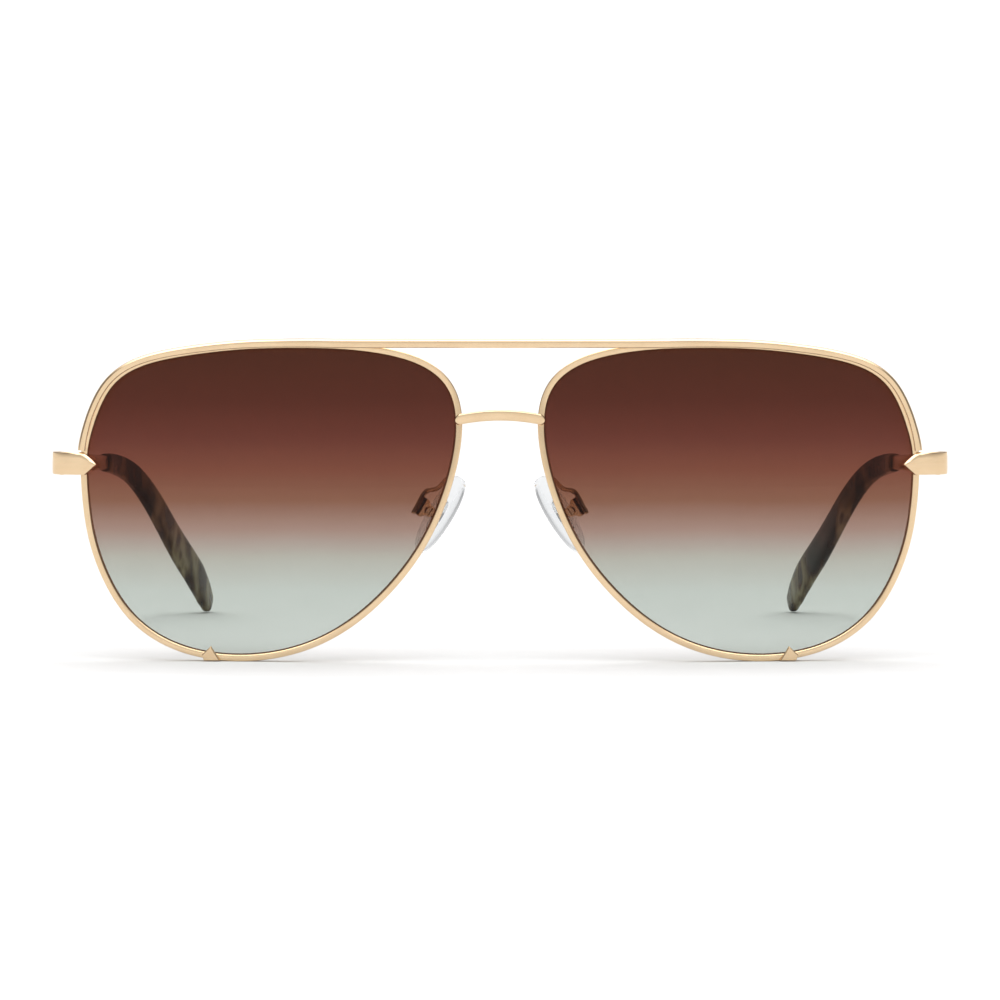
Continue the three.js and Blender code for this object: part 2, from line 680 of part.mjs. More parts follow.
/** The clear silicone pad, with the pocket that its insert sits in. */
function nosePad() {
  const steps = 12;
  const middleY = PAD_BACK + PAD_THICKNESS / 2;
  const end = (side) => [vec((side * PAD_LENGTH) / 2 - PAD_RISE, middleY, 0)];
  const rings = [end(-1)];
  for (let i = 1; i < steps; i++) {
    const side = -Math.cos((Math.PI * i) / steps);
    const fullness = Math.sqrt(1 - side ** 2);
    const width = PAD_WIDTH * fullness ** 0.85 * (1 - 0.1 * side);
    const thickness = PAD_THICKNESS * fullness ** 0.6;
    const outline = roundedShape(thickness, width, 2.5, 20);
    rings.push(place(outline, vec((side * PAD_LENGTH) / 2 - PAD_RISE, middleY, 0), BACK, UP));
  }
  rings.push(end(1));
  const pocket = padPrism(
    coreOutline(POCKET_CLEARANCE),
    CORE_DEPTH - POCKET_CLEARANCE,
    CORE_DEPTH + CORE.thickness + POCKET_CLEARANCE,
  );
  const [lug, lugHalf] = [CORE.lug + POCKET_CLEARANCE, CORE.lugHalf + POCKET_CLEARANCE];
  const neck = prism([[-lug, 0], [lug, 0], [lug, CORE_DEPTH], [-lug, CORE_DEPTH]], -lugHalf, lugHalf);
  return combine([skin(rings)], [pocket, neck]);
}

function padScrew() {
  const { outer } = BOX;
  return screw(0, 0, -outer - 0.05, outer + 0.12, PAD_SCREW_RADIUS, PAD_SCREW_HEAD, 0.35, false);
}

/** The pad arm: a bent wire from the back of the rim, flattened behind the pad box. */
function padArm() {
  const paddle = PADDLE_REACH
    .map((x) => vec(x, -BOX.back - PADDLE_SHIFT, 0).applyMatrix4(padFrame));
  const wire = PAD_WIRE_PATH.map((point) => vec(...point));
  const path = new THREE.CatmullRomCurve3([...wire, ...paddle]);
  const steps = 24;
  const rings = [];
  for (let i = 0; i <= steps; i++) {
    const [thickness, width] = lookUp(PAD_ARM_SECTIONS, i / steps);
    const along = path.getTangentAt(i / steps);
    const narrow = padInward.clone().addScaledVector(along, -along.dot(padInward)).normalize();
    const wide = along.clone().cross(narrow);
    const outline = roundedShape(thickness, width, 2, 12);
    rings.push(place(outline, path.getPointAt(i / steps), narrow, wide));
  }
  return skin(rings);
}

// ---- Assembly ----------------------------------------------------------------------

function addMesh(group, name, geometry, material) {
  const mesh = new THREE.Mesh(geometry, material.clone());
  mesh.name = name;
  group.add(mesh);
  return mesh;
}

/** All the pieces of one side, drawn for the wearer's left. */
function addSide(group, prefix) {
  const add = (name, geometry, material) => addMesh(group, `${prefix}_${name}`, geometry, material);
  const blockTop = END_PIECE_Z + BLOCK_GAP / 2 + BLOCK_HEIGHT;
  const blockFoot = END_PIECE_Z - BLOCK_GAP / 2 - BLOCK_HEIGHT;

  add('rim', rim(), gold);
  add('lens', lens(), tint);
  add('rim_stud', rimStud(), gold);
  add('end_piece', endPiece(), gold);
  add(
    'closing_block_upper',
    closingBlock(END_PIECE_Z + BLOCK_GAP / 2, blockTop, END_PIECE_Z - 1, blockTop - 0.35),
    gold,
  );
  add(
    'closing_block_lower',
    closingBlock(blockFoot, END_PIECE_Z - BLOCK_GAP / 2, blockFoot - 1, END_PIECE_Z + 1),
    gold,
  );
  add(
    'rim_screw',
    screw(
      blockMiddle.x, blockMiddle.y, blockFoot - 0.05, blockTop - 0.45,
      RIM_SCREW_RADIUS, RIM_SCREW_HEAD, 0.3, false,
    ),
    steel,
  );
  add('hinge_front_leaf', hingeLeaf(-1, [0, 2]), gold);
  add('hinge_temple_leaf', hingeLeaf(1, [1]), gold);
  add('hinge_screw', hingeScrew(), steel);
  add('temple_arm', templeArm(), gold);
  add('temple_tip', templeTip(), acetate);
  add('pad_arm', padArm(), gold);
  add('pad_box', padBox().applyMatrix4(padFrame), gold);
  add('pad_screw', padScrew().applyMatrix4(padFrame), steel);
  add('nose_pad_core', padCore().applyMatrix4(padFrame), plastic);
  add('nose_pad', nosePad().applyMatrix4(padFrame), silicone);
}

const glasses = new THREE.Group();
glasses.name = 'aviator_sunglasses';
glasses.position.y = -DEPTH_MIDDLE;

addMesh(glasses, 'brow_bar', browBar(), gold);
addMesh(glasses, 'bridge', bridge(), gold);

const leftSide = new THREE.Group();
addSide(leftSide, 'left');
glasses.add(leftSide);

const rightSide = new THREE.Group();
rightSide.scale.x = -1;
addSide(rightSide, 'right');
glasses.add(rightSide);

export default glasses;
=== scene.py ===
import math

import bmesh
import bpy
import numpy as np
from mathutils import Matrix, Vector


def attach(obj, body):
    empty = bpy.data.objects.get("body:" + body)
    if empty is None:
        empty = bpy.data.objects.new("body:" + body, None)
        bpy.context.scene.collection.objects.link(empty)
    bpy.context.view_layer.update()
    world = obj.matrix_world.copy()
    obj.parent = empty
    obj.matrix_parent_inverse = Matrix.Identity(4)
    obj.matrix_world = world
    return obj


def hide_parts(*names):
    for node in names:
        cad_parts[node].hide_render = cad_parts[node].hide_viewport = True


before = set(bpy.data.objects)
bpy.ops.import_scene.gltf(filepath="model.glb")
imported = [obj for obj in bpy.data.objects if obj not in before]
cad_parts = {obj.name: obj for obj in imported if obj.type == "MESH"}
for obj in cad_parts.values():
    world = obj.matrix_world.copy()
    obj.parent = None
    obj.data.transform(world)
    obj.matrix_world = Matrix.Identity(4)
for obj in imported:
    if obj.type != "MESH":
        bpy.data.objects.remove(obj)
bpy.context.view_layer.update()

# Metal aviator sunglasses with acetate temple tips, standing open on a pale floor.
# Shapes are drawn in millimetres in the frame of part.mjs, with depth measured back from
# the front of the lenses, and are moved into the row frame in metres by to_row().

MM = 0.001
DEPTH_MIDDLE = 67.07
SIDES = (("left", 1.0), ("right", -1.0))

# ---- Dimensions shared with the CAD model ------------------------------------------

LENS_OUTLINE = [
    (69.3, 33.1), (68.4, 38.7), (65.3, 45.6), (59.6, 49.5), (52.0, 51.2), (43.0, 52.2),
    (33.5, 52.45), (24.0, 52.05), (15.0, 50.25), (9.2, 46.3), (7.4, 39.8), (8.8, 30.8),
    (12.9, 20.7), (19.3, 12.1), (27.3, 5.55), (36.5, 1.9), (46.3, 1.2), (55.4, 3.4),
    (62.6, 9.0), (67.1, 17.6), (68.85, 25.6),
]
LENS_MIDDLE = (38.5, 26.8)
FRONT_RADIUS = 132.0
FACE_FORM = math.tan(math.radians(4.0))

LENS_HALF = 0.9
RIM_WIDTH = 1.1
RIM_HALF = 1.15
RIM_SPLIT_HALF = 0.0009
GROOVE_DEPTH = 0.45
GROOVE_HALF = 0.42
BEVEL_REACH = 0.33
BEVEL_HALF = 0.36

BAR_HEIGHT = 1.52
BAR_DEPTH = 1.45
BAR_Z = 53.27
BAR_ON_RIM = [
    (0.0172, 1.03, 1.27), (0.06, 1.15, 1.12), (0.12, 1.08, 1.2), (0.27, 0.9, 1.4),
    (0.312, 0.96, 1.5),
]

BRIDGE_HALF = 7.45
BRIDGE_HEIGHT = 1.8
BRIDGE_DEPTH = 1.25
BRIDGE_Z = 41.3
BRIDGE_ARCH = 0.85
BRIDGE_BOW = 0.75

END_PIECE_Z = 33.1
END_PIECE_HEIGHT = 3.8
END_PIECE_THICKNESS = 1.1
ARROW_TIP_Z = 32.95
ARROW_TOP_X = 70.2
ARROW_LOW_X = 69.5
ARROW_TIP_X = 67.6
END_PIECE_PATH = [
    (67.6, 3.4), (69.0, 3.71), (70.2, 4.03), (71.6, 4.45), (72.9, 4.98), (73.95, 5.7),
    (74.65, 6.7), (74.85, 8.1), (74.8, 9.7), (74.75, 11.2),
]

STUD_OUTLINE = [(46.9, 0.15), (49.6, 0.15), (50.0, 1.05), (48.4, 2.6)]
STUD_THICKNESS = 0.75

TEMPLE_PATH = [
    (74.75, 11.32, 33.1), (74.35, 32, 32.3), (73.7, 56, 31.5), (72.7, 80, 30.7),
    (71.3, 90, 30.1), (68.8, 97.5, 28.3), (66.0, 104.5, 24.1), (63.4, 112, 18.4),
    (60.7, 120, 12.3), (58.2, 127, 7.1), (56.2, 134.65, 0.93),
]
ARM_SECTIONS = [
    (0, 1.15, 3.8), (36, 1.12, 3.3), (70, 1.1, 2.6), (76, 1.1, 2.3), (81, 1.0, 1.6),
    (88, 0.95, 1.4), (118, 0.9, 1.1),
]
TIP_SECTIONS = [
    (73.5, 2.1, 3.3), (76, 2.3, 3.6), (88, 2.5, 4.0), (100, 2.5, 4.8), (115, 2.45, 5.7),
    (125, 2.4, 6.0), (130, 2.3, 5.4), (132.6, 2.1, 4.3), (134.6, 1.4, 2.6),
]

PAD_SCREW = (12.5, 9.5, 25.25)
PAD_LEAN = math.radians(30.5)
PAD_SPLAY = math.radians(25.0)
PAD_LENGTH = 14.4
PAD_WIDTH = 7.5
PAD_THICKNESS = 2.9
PAD_BACK = 1.3
PAD_RISE = 0.3
PAD_WIRE_PATH = [
    (8.35, 2.85, 30.8), (9.0, 3.9, 30.45), (9.8, 5.2, 29.6), (10.7, 6.5, 28.8),
    (11.6, 7.7, 28.55),
]
PADDLE_REACH = (-2.4, -0.2, 1.8)
PADDLE_BACK = 1.73
PAD_ARM_SECTIONS = [
    (0, 0.8, 0.8), (0.55, 0.72, 0.72), (0.7, 0.64, 1.4), (0.93, 0.64, 1.5), (1, 0.3, 0.7),
]

# ---- Finer shapes that only the visual model has ------------------------------------

LENS_FRONT_INSET = 0.2  # where the lens's front face ends inside the rim's edge
LENS_BACK_INSET = 0.03
LENS_CHAMFER = 0.05
RIM_FRONT_EDGE = 0.14
RIM_OUTER_EDGE = 0.12
RIM_BACK_EDGE = 0.22
BAR_BRAZE = 0.04
BRIDGE_BRAZE = 0.03
FRONT_HEIGHT = 0.054  # metres; the lens tint is laid out over it
CAP_POWER = 2.6  # how blunt the bridge's round ends are; 2 would be a circle
STUD_BRAZE = 0.28
TIP_ROUNDING = 2.4
BROKEN_EDGE = 0.05

BACK = np.array((0.0, 1.0, 0.0))
UP = np.array((0.0, 0.0, 1.0))


# ---- Curves ------------------------------------------------------------------------

def unit(v):
    v = np.asarray(v, float)
    return v / np.linalg.norm(v)


def spline_controls(points):
    """Control points of the closed cubic B-spline that passes through the points."""
    through = np.array(points, float)
    control = through.copy()
    for _ in range(40):
        control = (6 * through - np.roll(control, 1, 0) - np.roll(control, -1, 0)) / 4
    return control


LENS_CONTROLS = spline_controls(LENS_OUTLINE)


def lens_edge(turns):
    """The lens edge seen from the front, from 0 to 1 around it."""
    count = len(LENS_CONTROLS)
    place = (turns % 1.0) * count
    i = int(place)
    t = place - i
    weights = (
        (1 - t) ** 3,
        3 * t**3 - 6 * t**2 + 4,
        -3 * t**3 + 3 * t**2 + 3 * t + 1,
        t**3,
    )
    return sum(w / 6 * LENS_CONTROLS[(i + k - 1) % count] for k, w in enumerate(weights))


def edge_normal(turns):
    tangent = unit(lens_edge(turns + 1e-4) - lens_edge(turns - 1e-4))
    return np.array((tangent[1], 0.0, -tangent[0]))


def front_depth(x, z):
    across = abs(x) - LENS_MIDDLE[0]
    up = z - LENS_MIDDLE[1]
    return (across**2 + up**2) / (2 * FRONT_RADIUS) + across * FACE_FORM


def beside_edge(turns, offset, extra=0.0):
    x, z = lens_edge(turns)
    return np.array((x, front_depth(x, z) + extra, z)) + offset * edge_normal(turns)


def look_up(rows, key):
    rows = np.array(rows, float)
    return [float(np.interp(key, rows[:, 0], column)) for column in rows.T[1:]]


class Path:
    """A smooth curve through points, by distance along it: a natural cubic spline."""

    def __init__(self, points):
        self.points = np.array(points, float)
        gaps = np.linalg.norm(np.diff(self.points, axis=0), axis=1)
        self.knots = np.concatenate(([0.0], np.cumsum(gaps)))
        self.length = self.knots[-1]
        count = len(points)
        matrix = np.eye(count)
        right = np.zeros_like(self.points)
        for i in range(1, count - 1):
            matrix[i, i - 1:i + 2] = gaps[i - 1], 2 * (gaps[i - 1] + gaps[i]), gaps[i]
            slope_after = (self.points[i + 1] - self.points[i]) / gaps[i]
            slope_before = (self.points[i] - self.points[i - 1]) / gaps[i - 1]
            right[i] = 6 * (slope_after - slope_before)
        self.bend = np.linalg.solve(matrix, right)

    def at(self, distance):
        i = int(np.clip(np.searchsorted(self.knots, distance) - 1, 0, len(self.knots) - 2))
        gap = self.knots[i + 1] - self.knots[i]
        a = (self.knots[i + 1] - distance) / gap
        b = 1 - a
        bent = (a**3 - a) * self.bend[i] + (b**3 - b) * self.bend[i + 1]
        return a * self.points[i] + b * self.points[i + 1] + bent * gap**2 / 6

    def along(self, distance):
        return unit(self.at(distance + 0.01) - self.at(distance - 0.01))


# ---- Sections ----------------------------------------------------------------------

def rounded(points, radius, steps=3):
    """A closed outline with its corners rounded."""
    points = [np.array(p, float) for p in points]
    result = []
    for i, corner in enumerate(points):
        before = points[i - 1] - corner
        after = points[(i + 1) % len(points)] - corner
        start = corner + before * min(0.45, radius / np.linalg.norm(before))
        end = corner + after * min(0.45, radius / np.linalg.norm(after))
        for t in np.linspace(0, 1, steps + 1):
            result.append((1 - t) ** 2 * start + 2 * t * (1 - t) * corner + t**2 * end)
    return np.array(result)


def cut_rectangle(width, height, cut):
    w, h = width / 2, height / 2
    return [
        (w, -h + cut), (w, h - cut), (w - cut, h), (-w + cut, h),
        (-w, h - cut), (-w, -h + cut), (-w + cut, -h), (w - cut, -h),
    ]


def rounded_shape(width, height, power, sides):
    angle = np.arange(sides) * 2 * math.pi / sides
    c, s = np.cos(angle), np.sin(angle)
    x = width / 2 * np.sign(c) * np.abs(c) ** (2 / power)
    y = height / 2 * np.sign(s) * np.abs(s) ** (2 / power)
    return np.column_stack((x, y))


def place(outline, origin, along, across):
    outline = np.asarray(outline, float)
    return origin + outline[:, :1] * along + outline[:, 1:2] * across


# ---- Meshes ------------------------------------------------------------------------

def to_row(points, side=1.0):
    """Millimetres in the drawing frame to metres in the row frame, mirrored for side -1."""
    points = np.array(points, float)
    points[:, 0] *= side
    points[:, 1] -= DEPTH_MIDDLE
    return points * MM


def loft(rings, loop=False):
    """Vertices and faces of a closed body through rings of equal count."""
    count = len(rings[0])
    vertices = np.concatenate(rings)
    faces = []
    spans = len(rings) if loop else len(rings) - 1
    for i in range(spans):
        here, there = i * count, ((i + 1) % len(rings)) * count
        for j in range(count):
            k = (j + 1) % count
            faces.append((here + j, here + k, there + k, there + j))
    if not loop:
        faces.append(tuple(reversed(range(count))))
        faces.append(tuple(range(len(vertices) - count, len(vertices))))
    return vertices, faces


def add_piece(name, parts, side, body, nodes, material, sharp=35.0):
    """One mesh object from (vertices, faces) parts, riding on a body in place of CAD nodes."""
    vertices, faces = [], []
    for part_vertices, part_faces in parts:
        start = sum(len(v) for v in vertices)
        vertices.append(np.asarray(part_vertices, float))
        faces += [tuple(start + i for i in face) for face in part_faces]
    mesh = bpy.data.meshes.new(name)
    mesh.from_pydata(to_row(np.concatenate(vertices), side).tolist(), [], faces)
    work = bmesh.new()
    work.from_mesh(mesh)
    bmesh.ops.remove_doubles(work, verts=work.verts, dist=1e-7)
    bmesh.ops.recalc_face_normals(work, faces=work.faces)
    work.to_mesh(mesh)
    work.free()
    mesh.shade_smooth()
    mesh.set_sharp_from_angle(angle=math.radians(sharp))
    mesh.materials.append(material)
    piece = bpy.data.objects.new(name, mesh)
    bpy.context.scene.collection.objects.link(piece)
    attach(piece, body)
    if nodes:
        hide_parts(*nodes)
    return piece


# ---- Materials ---------------------------------------------------------------------

def linear(red, green, blue):
    """Screen colour values from 0 to 255 as scene-linear colour."""
    def one(value):
        v = value / 255
        return v / 12.92 if v <= 0.04045 else ((v + 0.055) / 1.055) ** 2.4
    return (one(red), one(green), one(blue), 1.0)


class Nodes:
    """A material with its Principled shader and short ways to add nodes."""

    def __init__(self, name):
        self.material = bpy.data.materials.new(name)
        self.material.use_nodes = True
        self.tree = self.material.node_tree
        self.shader = self.tree.nodes["Principled BSDF"]
        self.output = self.tree.nodes["Material Output"]
        self.place = self.add("ShaderNodeTexCoord").outputs["Object"]

    def add(self, kind, **settings):
        node = self.tree.nodes.new(kind)
        for key, value in settings.items():
            setattr(node, key, value)
        return node

    def link(self, source, target):
        self.tree.links.new(source, target)

    def noise(self, scale, detail=3.0, stretch=(1, 1, 1), roughness=0.5):
        mapping = self.add("ShaderNodeMapping")
        mapping.inputs["Scale"].default_value = stretch
        self.link(self.place, mapping.inputs["Vector"])
        node = self.add("ShaderNodeTexNoise")
        node.inputs["Scale"].default_value = scale
        node.inputs["Detail"].default_value = detail
        node.inputs["Roughness"].default_value = roughness
        self.link(mapping.outputs["Vector"], node.inputs["Vector"])
        return node.outputs["Fac"]

    def spread(self, value, low, high, from_low=0.0, from_high=1.0):
        node = self.add("ShaderNodeMapRange")
        node.inputs["From Min"].default_value = from_low
        node.inputs["From Max"].default_value = from_high
        node.inputs["To Min"].default_value = low
        node.inputs["To Max"].default_value = high
        self.link(value, node.inputs["Value"])
        return node.outputs["Result"]

    def ramp(self, value, stops):
        node = self.add("ShaderNodeValToRGB")
        elements = node.color_ramp.elements
        while len(elements) < len(stops):
            elements.new(0.5)
        for element, (position, colour) in zip(elements, stops):
            element.position = position
            element.color = colour
        self.link(value, node.inputs["Fac"])
        return node.outputs["Color"]

    def bump(self, height, strength, distance):
        node = self.add("ShaderNodeBump")
        node.inputs["Strength"].default_value = strength
        node.inputs["Distance"].default_value = distance
        self.link(height, node.inputs["Height"])
        self.link(node.outputs["Normal"], self.shader.inputs["Normal"])

    def let_lamps_through(self, tint=(1.0, 1.0, 1.0, 1.0)):
        """Light passes the clear body as a tint, so its shadow is as light as a real one."""
        path = self.add("ShaderNodeLightPath")
        clear = self.add("ShaderNodeBsdfTransparent")
        clear.inputs["Color"].default_value = tint
        mix = self.add("ShaderNodeMixShader")
        self.link(path.outputs["Is Shadow Ray"], mix.inputs["Fac"])
        self.link(self.shader.outputs["BSDF"], mix.inputs[1])
        self.link(clear.outputs["BSDF"], mix.inputs[2])
        self.link(mix.outputs["Shader"], self.output.inputs["Surface"])
        return clear

    def set(self, **values):
        for key, value in values.items():
            self.shader.inputs[key.replace("_", " ")].default_value = value


def make_gold(name, low, high, rough_low, rough_high):
    """Pale gold plating: fine polishing marks and a slight drift of tone."""
    m = Nodes(name)
    m.set(Metallic=1.0)
    drift = m.noise(260.0, 2.0)
    m.link(m.ramp(drift, [(0.3, low), (0.7, high)]), m.shader.inputs["Base Color"])
    polish = m.noise(5200.0, 4.0)
    m.link(m.spread(polish, rough_low, rough_high, 0.25, 0.75), m.shader.inputs["Roughness"])
    m.bump(polish, 0.12, 0.00002)
    return m.material


def make_lens():
    """Tinted lens: dark brown at the top, fading to a pale grey-green at the bottom."""
    m = Nodes("lens_tint")
    m.set(Roughness=0.0, IOR=1.2, Transmission_Weight=1.0)
    height = m.add("ShaderNodeSeparateXYZ")
    m.link(m.place, height.inputs["Vector"])
    cloud = m.spread(m.noise(45.0, 2.0), -0.0006, 0.0006)
    uneven = m.add("ShaderNodeMath", operation="ADD")
    m.link(height.outputs["Z"], uneven.inputs[0])
    m.link(cloud, uneven.inputs[1])
    share = m.spread(uneven.outputs["Value"], 0.0, 1.0, 0.0, FRONT_HEIGHT)
    tint = m.ramp(share, [
        (0.07, linear(193, 200, 194)),
        (0.22, linear(183, 190, 183)),
        (0.315, linear(172, 172, 162)),
        (0.41, linear(154, 128, 117)),
        (0.50, linear(129, 89, 71)),
        (0.595, linear(116, 68, 53)),
        (0.69, linear(99, 53, 43)),
        (0.81, linear(82, 42, 32)),
        (0.95, linear(73, 38, 26)),
    ])
    # Painted shade: the ground edge of the lens, whose surface turns away from the front, is painted
    # dark brown to stand in for the shade of the rim's groove round it.
    facing = m.add("ShaderNodeSeparateXYZ")
    m.link(m.add("ShaderNodeNewGeometry").outputs["Normal"], facing.inputs["Vector"])
    turned = m.add("ShaderNodeMath", operation="ABSOLUTE")
    m.link(facing.outputs["Y"], turned.inputs[0])
    # edge is the painted-shade mask: 1 where the lens surface turns away from the front.
    edge = m.spread(turned.outputs["Value"], 1.0, 0.0, 0.75, 0.88)
    painted_edge_shade = m.add("ShaderNodeMix", data_type="RGBA")
    painted_edge_shade.inputs["B"].default_value = linear(66, 36, 22)
    m.link(edge, painted_edge_shade.inputs["Factor"])
    m.link(tint, painted_edge_shade.inputs["A"])
    tint = painted_edge_shade.outputs["Result"]
    m.link(tint, m.shader.inputs["Base Color"])
    clear = m.let_lamps_through()
    m.link(tint, clear.inputs["Color"])
    return m.material


def make_silicone():
    """Clear moulded silicone with a faint haze and the softest of ripples."""
    m = Nodes("clear_silicone")
    m.set(IOR=1.07, Transmission_Weight=1.0, Base_Color=(0.80, 0.81, 0.82, 1.0))
    haze = m.noise(900.0, 3.0)
    m.link(m.spread(haze, 0.05, 0.14, 0.3, 0.7), m.shader.inputs["Roughness"])
    m.bump(m.noise(420.0, 2.0), 0.3, 0.00006)
    m.let_lamps_through((0.9, 0.91, 0.92, 1.0))
    return m.material


def make_insert():
    """Clear hard plastic; its index is the one against the silicone round it."""
    m = Nodes("clear_plastic")
    m.set(IOR=1.16, Transmission_Weight=1.0, Base_Color=(0.72, 0.73, 0.73, 1.0))
    flow = m.noise(1500.0, 2.0, (1.0, 1.0, 0.3))
    m.link(m.spread(flow, 0.03, 0.1, 0.3, 0.7), m.shader.inputs["Roughness"])
    m.let_lamps_through((0.9, 0.9, 0.9, 1.0))
    return m.material


def make_tortoise():
    """Polished tortoiseshell acetate: dark olive brown with amber streaks."""
    m = Nodes("tortoise_acetate")
    m.set(IOR=1.5, Specular_IOR_Level=0.2)
    swirl = m.noise(260.0, 3.0, (1.0, 0.22, 0.22), 0.55)
    base = m.ramp(swirl, [
        (0.36, linear(16, 8, 5)),
        (0.45, linear(48, 28, 17)),
        (0.51, linear(92, 78, 54)),
        (0.56, linear(132, 123, 98)),
        (0.61, linear(66, 40, 24)),
        (0.70, linear(24, 13, 8)),
    ])
    m.link(base, m.shader.inputs["Base Color"])
    polish = m.noise(2500.0, 3.0)
    m.link(m.spread(polish, 0.1, 0.2, 0.3, 0.7), m.shader.inputs["Roughness"])
    m.bump(m.noise(600.0, 2.0), 0.1, 0.00003)
    return m.material


gold = make_gold(
    "gold_metal", (0.76, 0.56, 0.35, 1.0), (0.80, 0.60, 0.385, 1.0), 0.14, 0.24
)
screw_metal = make_gold(
    "screw_metal", (0.74, 0.60, 0.42, 1.0), (0.80, 0.66, 0.48, 1.0), 0.22, 0.36
)
lens_tint = make_lens()
silicone = make_silicone()
insert_plastic = make_insert()
tortoise = make_tortoise()


# ---- Front -------------------------------------------------------------------------

def rim():
    section = rounded([
        (0, -RIM_HALF + RIM_FRONT_EDGE), (RIM_FRONT_EDGE, -RIM_HALF),
        (RIM_WIDTH - RIM_OUTER_EDGE, -RIM_HALF), (RIM_WIDTH, -RIM_HALF + RIM_OUTER_EDGE),
        (RIM_WIDTH, RIM_HALF - RIM_OUTER_EDGE), (RIM_WIDTH - RIM_OUTER_EDGE, RIM_HALF),
        (RIM_BACK_EDGE, RIM_HALF), (0, RIM_HALF - RIM_BACK_EDGE),
        (0, GROOVE_HALF), (GROOVE_DEPTH, 0), (0, -GROOVE_HALF),
    ], 0.06, 2)
    rings = []
    for turns in np.linspace(RIM_SPLIT_HALF, 1 - RIM_SPLIT_HALF, 420):
        rings.append(place(section, beside_edge(turns, 0), edge_normal(turns), BACK))
    return loft(rings)


def lens_ring(share, offset, extra, steps):
    middle = np.array(LENS_MIDDLE)
    ring = []
    for i in range(steps):
        edge = beside_edge(i / steps, offset)
        x, z = middle + (edge[[0, 2]] - middle) * share
        y = edge[1] if share == 1 else front_depth(x, z)
        ring.append((x, y + extra, z))
    return np.array(ring)


def lens():
    """Two curved faces that meet in a bevelled edge inside the rim's groove."""
    steps = 360
    shares = [0.02, 0.12, 0.25, 0.38, 0.5, 0.62, 0.73, 0.83, 0.91, 0.965]
    front, back = -LENS_FRONT_INSET, -LENS_BACK_INSET
    rings = [lens_ring(s, front, -LENS_HALF, steps) for s in shares]
    rings.append(lens_ring(1, front - 0.03, -LENS_HALF, steps))
    rings.append(lens_ring(1, front, -LENS_HALF + LENS_CHAMFER, steps))
    rings.append(lens_ring(1, back, -BEVEL_HALF, steps))
    rings.append(lens_ring(1, BEVEL_REACH, 0, steps))
    rings.append(lens_ring(1, back, BEVEL_HALF, steps))
    rings.append(lens_ring(1, back, LENS_HALF - LENS_CHAMFER, steps))
    rings.append(lens_ring(1, back - 0.03, LENS_HALF, steps))
    rings += [lens_ring(s, back, LENS_HALF, steps) for s in reversed(shares)]
    return loft(rings)


def bar_section(height):
    h, d = height / 2, BAR_DEPTH / 2
    return rounded([
        (h - 0.06, d), (h, d - 0.06), (h, -d + 0.75), (h - 0.12, -d + 0.3), (h - 0.38, -d),
        (-h + 0.14, -d), (-h, -d + 0.14), (-h, d),
    ], 0.05, 2)


def brow_bar():
    lift = -RIM_HALF - BAR_BRAZE - BAR_DEPTH / 2
    ends, joins = BAR_ON_RIM[0][0], BAR_ON_RIM[-1][0]
    y = beside_edge(joins, 0, lift)[1]
    half = [
        place(bar_section(BAR_HEIGHT), np.array((x, y, BAR_Z)), UP, BACK)
        for x in (0, 4, 8, 12, 16, 20, 23)
    ]
    for turns in np.linspace(joins, ends, 180):
        offset, height = look_up(BAR_ON_RIM, turns)
        origin = beside_edge(turns, offset, lift)
        half.append(place(bar_section(height), origin, edge_normal(turns), BACK))
    mirrored = [ring * (-1, 1, 1) for ring in half[:0:-1]]
    return loft(mirrored + half)


def bridge():
    rings = []
    rim_front = front_depth(BRIDGE_HALF, BRIDGE_Z - BRIDGE_ARCH) - RIM_HALF
    end_y = rim_front - BRIDGE_BRAZE - BRIDGE_DEPTH / 2
    for angle in np.linspace(0, math.pi, 81):
        side = -math.cos(angle)
        x = side * BRIDGE_HALF
        to_end = BRIDGE_HALF - abs(x)
        from_cap = max(0.0, 1 - to_end / (BRIDGE_HEIGHT / 2))
        fullness = (1 - from_cap**CAP_POWER) ** (1 / CAP_POWER)
        height = max(0.12, BRIDGE_HEIGHT * fullness)
        y = end_y - BRIDGE_BOW * (1 - side**2)
        origin = np.array((x, y, BRIDGE_Z - BRIDGE_ARCH * side**2))
        section = rounded(cut_rectangle(height, BRIDGE_DEPTH, min(0.22, height / 6)), 0.05, 2)
        rings.append(place(section, origin, UP, BACK))
    return loft(rings)


def end_piece():
    path = Path([(x, y, 0) for x, y in END_PIECE_PATH])
    top = END_PIECE_Z + END_PIECE_HEIGHT / 2
    low = END_PIECE_Z - END_PIECE_HEIGHT / 2
    rings = []
    for distance in np.linspace(0, path.length, 120):
        origin = path.at(distance)
        outside = np.cross(path.along(distance), UP)
        fall = max(0.0, (ARROW_TOP_X - origin[0]) / (ARROW_TOP_X - ARROW_TIP_X))
        rise = max(0.0, (ARROW_LOW_X - origin[0]) / (ARROW_LOW_X - ARROW_TIP_X))
        upper = top + (ARROW_TIP_Z + 0.06 - top) * min(1, fall) ** 1.35
        lower = low + (ARROW_TIP_Z - 0.06 - low) * min(1, rise)
        height = upper - lower
        origin[2] = (upper + lower) / 2
        t, h = END_PIECE_THICKNESS / 2, height / 2
        corner = min(0.12, height / 6)
        arrow = np.clip((72.2 - origin[0]) / 1.6, 0, 1)
        facet = corner + arrow * (min(0.45, height / 3) - corner)
        section = rounded([
            (t - 0.03, -h + corner), (t, -h / 2), (t, 0), (t - 0.02, h / 2),
            (t - 0.06, h - facet), (t - 0.06 - facet * 0.6, h), (-t + 0.15, h),
            (-t, h - 0.15), (-t, -h + corner), (-t + 0.15, -h), (t - 0.2, -h),
        ], 0.06, 2)
        rings.append(place(section, origin, outside, UP))
    return loft(rings)


